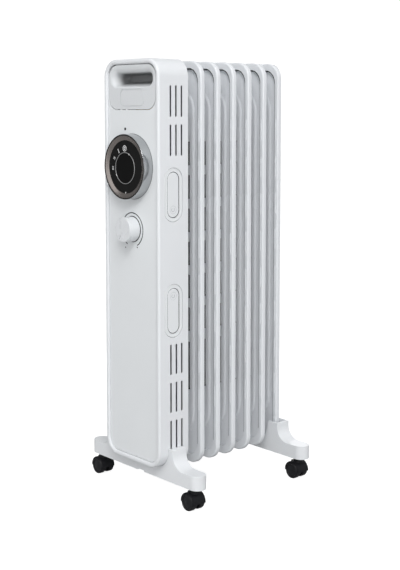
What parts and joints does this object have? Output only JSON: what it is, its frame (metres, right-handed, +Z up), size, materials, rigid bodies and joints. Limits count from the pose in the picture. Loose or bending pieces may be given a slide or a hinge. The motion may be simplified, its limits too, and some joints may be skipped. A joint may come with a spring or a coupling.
{
  "type": "oil filled radiator heater",
  "caption": "Portable oil filled column radiator with a slim control housing, round switch dial, thermostat knob, grab recess, flip-out cord hooks and twin-wheel swivel casters.",
  "frame": {"origin": "floor level, middle of the bounding box footprint", "axes": "+Z up, -Y the way the control face looks, +Y the way the fins are stacked, +X the side with the cord hooks"},
  "size_m": [0.2464, 0.2624, 0.625],
  "materials": {
    "white_plastic": "white moulded plastic, satin to semi gloss",
    "white_enamelled_steel": "white enamel, semi gloss",
    "black_plastic": "black moulded plastic",
    "gunmetal": "metallised gunmetal ring",
    "zinc_plated_steel": "zinc plated",
    "brass": "turned",
    "ceramic": "off-white heat proof insulator"
  },
  "bodies": {
    "heater": {"control_housing": "white_plastic", "front_panel": "white_plastic", "handle_bezel": "white_plastic", "badge_plate": "white_plastic", "pilot_lamp": "black_plastic", "cord_inlet_bush": "black_plastic", "heat_shield": "zinc_plated_steel", "rotary_switch": "black_plastic", "tip_over_switch": "black_plastic", "thermostat": "ceramic", "terminal_block": "ceramic", "thermal_cutout": "zinc_plated_steel", "cord_hook_upper_well": "white_plastic", "cord_hook_lower_well": "white_plastic", "cord_hook_upper_pin": "zinc_plated_steel", "cord_hook_lower_pin": "zinc_plated_steel", "fin_1": "white_enamelled_steel", "fin_2": "white_enamelled_steel", "fin_3": "white_enamelled_steel", "fin_4": "white_enamelled_steel", "fin_5": "white_enamelled_steel", "fin_6": "white_enamelled_steel", "fin_7": "white_enamelled_steel", "top_gallery": "white_enamelled_steel", "bottom_gallery": "white_enamelled_steel", "oil_filler_plug": "brass", "element_flange": "brass", "heating_element": "zinc_plated_steel", "front_foot": "white_plastic", "rear_foot": "white_plastic", "front_foot_stud": "zinc_plated_steel", "rear_foot_stud": "zinc_plated_steel", "front_foot_nut": "zinc_plated_steel", "rear_foot_nut": "zinc_plated_steel"},
    "power_dial": {"dial_ring": "gunmetal", "dial_disc": "black_plastic", "dial_shaft": "zinc_plated_steel"},
    "thermostat_knob": {"thermostat_knob": "white_plastic", "thermostat_shaft": "zinc_plated_steel"},
    "cord_hook_upper": {"cord_hook_upper": "white_plastic"},
    "cord_hook_lower": {"cord_hook_lower": "white_plastic"},
    "caster_front_right": {"caster_front_right_body": "black_plastic"},
    "caster_front_right_wheels": {"caster_front_right_wheel_front": "black_plastic", "caster_front_right_wheel_rear": "black_plastic", "caster_front_right_axle": "zinc_plated_steel"},
    "caster_front_left": {"caster_front_left_body": "black_plastic"},
    "caster_front_left_wheels": {"caster_front_left_wheel_front": "black_plastic", "caster_front_left_wheel_rear": "black_plastic", "caster_front_left_axle": "zinc_plated_steel"},
    "caster_rear_right": {"caster_rear_right_body": "black_plastic"},
    "caster_rear_right_wheels": {"caster_rear_right_wheel_front": "black_plastic", "caster_rear_right_wheel_rear": "black_plastic", "caster_rear_right_axle": "zinc_plated_steel"},
    "caster_rear_left": {"caster_rear_left_body": "black_plastic"},
    "caster_rear_left_wheels": {"caster_rear_left_wheel_front": "black_plastic", "caster_rear_left_wheel_rear": "black_plastic", "caster_rear_left_axle": "zinc_plated_steel"}
  },
  "joints": [
    {"name": "power_dial_turn", "type": "hinge", "parent": "heater", "child": "power_dial", "pos_m": [0, -0.1159, 0.4743], "axis": [0, 1, 0], "range_deg": [0, 93]},
    {"name": "thermostat_knob_turn", "type": "hinge", "parent": "heater", "child": "thermostat_knob", "pos_m": [0, -0.1159, 0.3857], "axis": [0, 1, 0], "range_deg": [0, 300]},
    {"name": "cord_hook_upper_flip", "type": "hinge", "parent": "heater", "child": "cord_hook_upper", "pos_m": [0.06015, -0.0899, 0.4158], "axis": [0, 1, 0], "range_deg": [0, 90]},
    {"name": "cord_hook_lower_flip", "type": "hinge", "parent": "heater", "child": "cord_hook_lower", "pos_m": [0.06015, -0.0899, 0.295], "axis": [0, -1, 0], "range_deg": [0, 90]},
    {"name": "caster_front_right_swivel", "type": "hinge", "parent": "heater", "child": "caster_front_right", "pos_m": [0.1057, -0.08805, 0.0319], "axis": [0, 0, 1], "continuous": true},
    {"name": "caster_front_right_roll", "type": "hinge", "parent": "caster_front_right", "child": "caster_front_right_wheels", "pos_m": [0.1022, -0.08805, 0.012], "axis": [0, 1, 0], "continuous": true},
    {"name": "caster_front_left_swivel", "type": "hinge", "parent": "heater", "child": "caster_front_left", "pos_m": [-0.1057, -0.08805, 0.0319], "axis": [0, 0, 1], "continuous": true},
    {"name": "caster_front_left_roll", "type": "hinge", "parent": "caster_front_left", "child": "caster_front_left_wheels", "pos_m": [-0.1092, -0.08805, 0.012], "axis": [0, 1, 0], "continuous": true},
    {"name": "caster_rear_right_swivel", "type": "hinge", "parent": "heater", "child": "caster_rear_right", "pos_m": [0.1057, 0.11865, 0.0319], "axis": [0, 0, 1], "continuous": true},
    {"name": "caster_rear_right_roll", "type": "hinge", "parent": "caster_rear_right", "child": "caster_rear_right_wheels", "pos_m": [0.1022, 0.11865, 0.012], "axis": [0, 1, 0], "continuous": true},
    {"name": "caster_rear_left_swivel", "type": "hinge", "parent": "heater", "child": "caster_rear_left", "pos_m": [-0.1057, 0.11865, 0.0319], "axis": [0, 0, 1], "continuous": true},
    {"name": "caster_rear_left_roll", "type": "hinge", "parent": "caster_rear_left", "child": "caster_rear_left_wheels", "pos_m": [-0.1092, 0.11865, 0.012], "axis": [0, 1, 0], "continuous": true}
  ]
}
